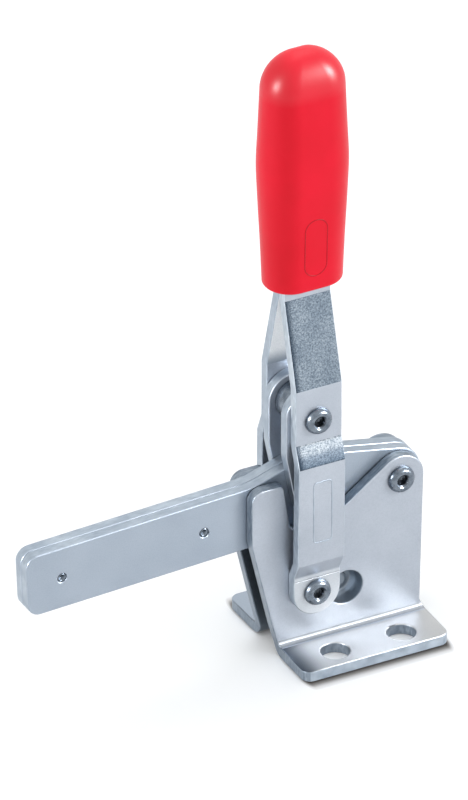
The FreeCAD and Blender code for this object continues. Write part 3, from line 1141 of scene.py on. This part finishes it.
@dataclass
class HandleLegs(SheetPair):
    """The two joggled legs of the handle, with the spacer between the links."""

    node: str = "handle_leg"
    word: str = "joggled"
    body: Body = Body.HANDLE
    flare: Pair = (89.9, 116.7)
    upper_step: Pair = (65.0, 71.9)
    foot: float = 27.0
    border_centre: Pair = (13.0, 49.4)
    border_size: Pair = (6.2, 20.5)
    border_corner: float = 1.2
    border_line: float = 0.3
    border_face: float = 13.2
    border_rise: float = 0.1
    border_roll: float = 0.06

    def finishes(self, side: Side) -> tuple[Material, ...]:
        """List a leg's materials.

        Args:
            side: Its side of the clamp.

        Returns:
            The materials in the order of the numbers that choose gives.
        """
        shelf = self.shelf
        # The left leg's edges are lighter than the right leg's, as painted light.
        edge = shelf.sheared_painted_light if side is Side.LEFT else shelf.sheared_light
        return shelf.satin, edge, shelf.mottled, shelf.stepped, shelf.scribed, shelf.bright

    def choose(self, side: Side, centre: Vector, normal: Vector) -> int:
        """Tell the edges and the stretched bands from the flat faces.

        Args:
            side: The leg's side of the clamp.
            centre: The face's centre.
            normal: The face's normal.

        Returns:
            0 for a flat face, 1 for a sheared edge, 2 for the flare, darker as painted shade, 3 for the
            upper step, lighter with a painted reflection, 4 for the foot, lighter as painted light with
            a scribed line in painted shade, and 5 for the inside of the flare, a painted highlight.
        """
        if abs(normal.x) > END_ON or abs(normal.y) < EDGE_ON:
            return 1
        height = centre.z / MM
        flared = self.flare[0] < height < self.flare[1]
        if normal.y * side.value < 0.0:
            return 5 if flared else 0
        if flared:
            return 2
        if self.upper_step[0] < height < self.upper_step[1]:
            return 3
        return 4 if height < self.foot else 0

    def border(self) -> Piece:
        """Make the plain pressed border on the left leg, blank inside.

        Returns:
            The border.
        """
        sizes = (self.border_size, self.border_corner, self.border_line, self.border_face)
        piece = flat_ring("leg_border", self.border_centre, *sizes)
        raise_ring(piece, self.border_rise * 2, self.border_roll)
        dress(piece, self.shelf.sheared_light)
        return hand_over(piece, Body.HANDLE)

    def make(self) -> list[Piece]:
        """Dress the spacer and return the new legs and the border."""
        dress(frame["nodes"]["link_spacer"], self.shelf.rivet)
        return super().make() + [self.border()]


@dataclass
class Links(SheetPair):
    """The two links that work between the legs."""

    node: str = "link"
    body: Body = Body.LINK


@dataclass
class PivotRivets:
    """The rivets of the four pivots, with rolled heads on the left and plain ones on the right.

    The rows of a head are pairs in millimetres. Those of the rolled head say how far from the
    axis and how far under the crown, those of the plain one how far in from its rim and how far
    over its seat.
    """

    shelf: FinishShelf
    shank_r: float = 2.5
    head_r: float = 4.2
    head_height: float = 2.0
    head_wall: float = 1.65
    head_undercut: float = 0.12
    hollow_r: float = 1.95
    rolled: tuple[Pair, ...] = (
        (0.0, 1.3),
        (0.35, 1.55),
        (0.9, 1.75),
        (1.25, 1.7),
        (1.42, 1.3),
        (1.5, 0.85),
        (1.68, 0.62),
        (1.9, 0.5),
        (2.05, 0.22),
        (2.35, 0.04),
        (2.75, 0.0),
        (3.15, 0.08),
        (3.55, 0.34),
        (3.88, 0.76),
        (4.1, 1.25),
    )
    back_r: float = 4.4
    plain: tuple[Pair, ...] = ((0.06, 0.0), (0.0, 0.3), (0.35, 0.85), (1.15, 1.4), (2.3, 1.82))
    plain_flat: Pair = (1.0, 0.02)
    plate_in: float = 3.6
    plate_out: float = 7.1
    leg_out: float = 10.7

    def rolled_head(self, seat: float) -> list[Pair]:
        """Work out the profile of a rolled head at +Y.

        Args:
            seat: Where it bears, in millimetres.

        Returns:
            Pairs of radius and Y from its hole to its seat.
        """
        top = seat + self.head_height
        wall = [(self.head_r, top - self.head_wall), (self.head_r - self.head_undercut, seat)]
        return [(radius, top - drop) for radius, drop in self.rolled] + wall

    def plain_head(self, seat: float) -> list[Pair]:
        """Work out the profile of a plain domed head at -Y.

        Args:
            seat: How far from the middle it bears, in millimetres.

        Returns:
            Pairs of radius and Y from its seat to its crown.
        """
        flat_r, dip = self.plain_flat
        crown = [(flat_r, -seat - self.head_height + dip), (0.0, -seat - self.head_height)]
        return [(self.back_r - inset, -seat - rise) for inset, rise in self.plain] + crown

    def rivet(self, node: str, centre: Pair, profile: Sequence[Pair], body: Body) -> Piece:
        """Turn a rivet, with darker zinc down its hollow as painted shade, and hand it over.

        Args:
            node: The node that it stands for.
            centre: The pivot's X and Z, in millimetres.
            profile: Its profile.
            body: The body that it rides on.

        Returns:
            The rivet.
        """
        piece = turned(f"closed_{node}", centre, profile)
        dress(piece, self.shelf.rivet, self.shelf.hollow)
        for face in piece.data.polygons:
            at = face.center
            face.material_index = int(at.y > 0.0 and off_axis(at, centre) < self.hollow_r)
        return hand_over(piece, body, [node])

    def whole(self, node: str, seat: float, body: Body) -> Piece:
        """Make a rivet from head to head.

        Args:
            node: The node that it stands for.
            seat: How far from the middle its heads bear, in millimetres.
            body: The body that it rides on.

        Returns:
            The rivet.
        """
        shank = [(self.shank_r, seat), (self.shank_r, -seat)]
        profile = self.rolled_head(seat) + shank + self.plain_head(seat)
        return self.rivet(node, middle_of(node), profile, body)

    def end(self, side: Side) -> Piece:
        """Make one end of the arm pivot rivet, which stays in its base plate.

        Args:
            side: Its side of the clamp.

        Returns:
            The rivet's end.
        """
        inner, outer = self.plate_in, self.plate_out
        if side is Side.LEFT:
            shank = [(self.shank_r, outer), (self.shank_r, inner), (0.0, inner)]
            profile = self.rolled_head(outer) + shank
        else:
            shank = [(0.0, -inner), (self.shank_r, -inner), (self.shank_r, -outer)]
            profile = shank + self.plain_head(outer)
        centre = middle_of("arm_pivot_rivet_core")
        return self.rivet(f"arm_pivot_rivet_end_{side.name.lower()}", centre, profile, Body.BASE)

    def make(self) -> list[Piece]:
        """Make every pivot rivet.

        Returns:
            The rivets.
        """
        return [self.end(side) for side in Side] + [
            self.whole("handle_pivot_rivet", self.leg_out, Body.HANDLE),
            self.whole("link_pivot_rivet", self.leg_out, Body.HANDLE),
            self.whole("arm_link_rivet", self.plate_out, Body.LINK),
        ]


@dataclass
class Grip:
    """The moulded grip with its blank raised outline."""

    shelf: FinishShelf
    mid_x: float = 12.9
    bottom: float = 120.8
    height: float = 76.1
    side_steps: int = 26
    dome_height: float = 12.0
    dome_r: float = 12.75
    dome_steps: int = 14
    dome_turn: float = 88.5
    depth_share: float = 0.67
    corner_share: float = 0.655
    rim: float = 0.8
    swell: tuple[Pair, ...] = (
        (0.0, 12.05),
        (12.5, 12.55),
        (23.0, 13.1),
        (31.0, 13.5),
        (40.0, 13.8),
        (50.0, 13.35),
        (58.0, 13.0),
        (64.1, 12.75),
    )
    pocket: Triple = (15.2, 7.2, 55.1)
    leg_mid_x: float = 13.0
    label_centre: Pair = (12.87, 135.4)
    label_size: Pair = (7.5, 19.2)
    label_line: float = 0.36
    label_away: float = 14.0
    label_rise: float = 0.1
    label_roll: float = 0.12

    def half_width(self, height: float) -> float:
        """Follow the swell of the grip with a smooth curve.

        Args:
            height: The height over the grip's bottom, in millimetres.

        Returns:
            The half width there, in millimetres.
        """
        points = self.swell
        last = len(points) - 1
        i = next((i for i in range(last) if height <= points[i + 1][0]), last)
        if i == last:
            return points[last][1]
        before, low, high, after = (points[min(max(j, 0), last)] for j in range(i - 1, i + 3))
        span = high[0] - low[0]
        t = (height - low[0]) / span
        slope_low = (high[1] - before[1]) / (high[0] - before[0])
        slope_high = (after[1] - low[1]) / (after[0] - low[0])
        return (
            low[1] * (2 * t**3 - 3 * t**2 + 1)
            + slope_low * span * (t**3 - 2 * t**2 + t)
            + high[1] * (3 * t**2 - 2 * t**3)
            + slope_high * span * (t**3 - t**2)
        )

    def levels(self) -> list[Pair]:
        """List the levels of the grip from its bottom to its crown.

        Returns:
            Pairs of a height over the bottom and the half width there, in millimetres.
        """
        foot = self.height - self.dome_height
        heights = [foot * i / self.side_steps for i in range(1, self.side_steps + 1)]
        levels = [(height, self.half_width(height)) for height in heights]
        for i in range(1, self.dome_steps + 1):
            turn = math.radians(self.dome_turn * i / self.dome_steps)
            levels.append((foot + self.dome_height * math.sin(turn), self.dome_r * math.cos(turn)))
        return levels

    def body(self) -> Piece:
        """Model the grip: a rounded plate drawn up level by level, with a pocket for the legs.

        Returns:
            The grip.
        """
        width = self.swell[0][1]
        middle = (self.mid_x * MM, 0.0, self.bottom * MM)
        bpy.ops.mesh.primitive_plane_add(size=2.0, location=middle)
        piece = fresh_piece("moulded_grip")
        sides = (width * MM, width * self.depth_share * MM, 1.0)
        corner = width * self.corner_share * MM
        with editing(piece):
            bpy.ops.transform.resize(value=sides, center_override=middle)
            bpy.ops.mesh.bevel(offset=corner, segments=12, affect="VERTICES", clamp_overlap=False)
            bpy.ops.mesh.select_all(action="SELECT")
            at = 0.0
            for height, half in self.levels():
                rise = (0.0, 0.0, (height - at) * MM)
                bpy.ops.mesh.extrude_region_move(TRANSFORM_OT_translate={"value": rise})
                here = (middle[0], 0.0, middle[2] + height * MM)
                bpy.ops.transform.resize(value=(half / width, half / width, 1.0), center_override=here)
                at, width = height, half
        face_out(piece)
        self.round_rim(piece)
        self.cut_pocket(piece)
        smooth(piece, 50.0)
        return piece

    def round_rim(self, piece: Piece) -> None:
        """Round the lower rim of the grip.

        Args:
            piece: The grip.
        """
        low = (self.bottom + 0.01) * MM
        with editing(piece, "FACE", lambda face: face.normal.z < -0.9 and face.center.z < low):
            bpy.ops.mesh.region_to_loop()
            bpy.ops.mesh.bevel(offset=self.rim * MM, segments=5, affect="EDGES", clamp_overlap=False)

    def cut_pocket(self, piece: Piece) -> None:
        """Cut the pocket that takes the tops of the legs.

        Args:
            piece: The grip.
        """
        wide, deep, tall = self.pocket
        middle = (self.leg_mid_x * MM, 0.0, (self.bottom + tall / 2 - 1.0) * MM)
        bpy.ops.mesh.primitive_cube_add(size=1.0, location=middle)
        cutter = bpy.context.active_object
        cutter.scale = (wide * MM, deep * MM, (tall + 2.0) * MM)
        settle(cutter)
        add_modifier(piece, "BOOLEAN", operation="DIFFERENCE", solver="EXACT", object=cutter)
        pick(cutter)
        bpy.ops.object.delete()

    def outline(self, body: Piece) -> Piece:
        """Model the blank raised outline on the left face of the grip.

        Args:
            body: The grip that it lies on.

        Returns:
            The outline.
        """
        corner_r = self.label_size[0] / 2 - 0.02
        sizes = (self.label_size, corner_r, self.label_line, self.label_away)
        piece = flat_ring("grip_outline", self.label_centre, *sizes)
        with editing(piece):
            bpy.ops.mesh.subdivide(number_cuts=2)
        add_modifier(
            piece,
            "SHRINKWRAP",
            target=body,
            wrap_method="PROJECT",
            use_project_y=True,
            use_negative_direction=True,
            use_positive_direction=False,
        )
        raise_ring(piece, self.label_rise * 2, self.label_roll)
        return piece

    def make(self) -> list[Piece]:
        """Make the grip and its outline.

        Returns:
            The pieces.
        """
        body = self.body()
        ring = self.outline(body)
        dress(body, self.shelf.plastic)
        # The outline takes the darker red, as painted shade.
        dress(ring, self.shelf.plastic_shade_line)
        hand_over(body, Body.HANDLE, ["grip"])
        hand_over(ring, Body.HANDLE)
        return [body, ring]


def aimed(name: str, data: bpy.types.ID, place: Vector, towards: Vector) -> bpy.types.Object:
    """Put a camera or a lamp into the scene.

    Args:
        name: Its name.
        data: The camera's or the lamp's data.
        place: Where it stands.
        towards: The direction that it looks or shines in.

    Returns:
        The camera or lamp.
    """
    item = bpy.data.objects.new(name, data)
    item.location = place
    item.rotation_mode = "QUATERNION"
    item.rotation_quaternion = towards.to_track_quat("-Z", "Y")
    bpy.context.scene.collection.objects.link(item)
    return item


@dataclass(frozen=True)
class Lamp:
    """A soft square lamp that shines at the clamp."""

    name: str
    side: Triple
    away: float
    size: float
    power: float
    mirror: bool = False

    def hang(self, target: Vector) -> None:
        """Hang the lamp. A mirror lamp shows in glossy surfaces alone.

        Args:
            target: The point that it shines at.
        """
        data = bpy.data.lights.new(self.name, "AREA")
        data.shape = "RECTANGLE"
        data.size = data.size_y = self.size
        data.energy = self.power
        offset = Vector(self.side).normalized() * self.away
        lamp = aimed(self.name, data, target + offset, -offset)
        lamp.visible_diffuse = not self.mirror


@dataclass
class Studio:
    """The camera, the floor, the lamps and the sky."""

    shelf: FinishShelf
    eye: Triple = (2.54881, 4.80009, 3.42556)
    look_at: Triple = (0.034899, 0.0, 0.086039)
    lens: float = 1000.0
    clip: Pair = (0.1, 40.0)
    floor_half: float = 1.1
    floor_drop: float = 0.0002
    sky_power: float = 1.0
    sky_tint: Tint = (0.97, 0.99, 1.0)
    sky_levels: tuple[Pair, ...] = (
        (0.0, 1.0),
        (0.46, 1.0),
        (0.5, 0.7),
        (0.53, 0.75),
        (0.6, 1.0),
        (0.8, 1.0),
    )
    lamps: tuple[Lamp, ...] = (
        Lamp("dome_left", (0.956, 0.095, 0.277), 1.0, 0.26, 11.0, mirror=True),
        Lamp("dome_right", (-0.70, 0.595, 0.385), 1.0, 0.32, 19.0, mirror=True),
        Lamp("overhead", (-0.3, -0.4, 1.0), 1.4, 0.9, 3.2),
    )

    def camera(self) -> None:
        """Place the camera at the photograph's viewing angle."""
        data = bpy.data.cameras.new("view")
        data.lens = self.lens
        data.sensor_width = 36.0
        data.clip_start, data.clip_end = self.clip
        eye = Vector(self.eye)
        bpy.context.scene.camera = aimed("view", data, eye, Vector(self.look_at) - eye)

    def floor(self) -> None:
        """Lay the floor under the clamp."""
        bpy.ops.mesh.primitive_circle_add(
            vertices=96, radius=self.floor_half, fill_type="NGON", location=(0.0, 0.0, -self.floor_drop)
        )
        floor = bpy.context.active_object
        floor.name = floor.data.name = "floor"
        dress(floor, self.shelf.floor)

    def sky(self) -> None:
        """Light the scene from all round with a white sky, greyer along the horizon."""
        world = bpy.data.worlds.new("sky")
        bpy.context.scene.world = world
        world.use_nodes = True
        world.node_tree.nodes.clear()
        bench = NodeBench(world.node_tree)
        place = bench.add("TexCoord", {}).outputs["Generated"]
        height = bench.add("SeparateXYZ", {"Vector": place}).outputs["Z"]
        half = bench.add("MapRange", {"Value": height, "From Min": -1.0}).outputs["Result"]
        stops = [(at, tuple(level * share for share in self.sky_tint)) for at, level in self.sky_levels]
        feeds = {"Color": bench.blend(half, stops), "Strength": self.sky_power}
        light = bench.add("Background", feeds).outputs["Background"]
        bench.add("OutputWorld", {"Surface": light})

    def make(self) -> None:
        """Set up the whole studio."""
        bpy.context.scene.view_settings.view_transform = "Standard"
        self.camera()
        self.floor()
        self.sky()
        for lamp in self.lamps:
            lamp.hang(Vector(self.look_at))


def main() -> None:
    """Build the studio and every sub-assembly, in order."""
    logging.basicConfig(level=logging.INFO, format="%(name)s: %(message)s")
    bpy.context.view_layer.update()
    deselect_all()
    shelf = FinishShelf()
    Studio(shelf).make()
    for part in (BasePlates, Arm, HandleLegs, Links, PivotRivets, Grip):
        pieces = part(shelf).make()
        log.info("%s: %d pieces", part.__name__, len(pieces))


if __name__ == "__main__":
    main()
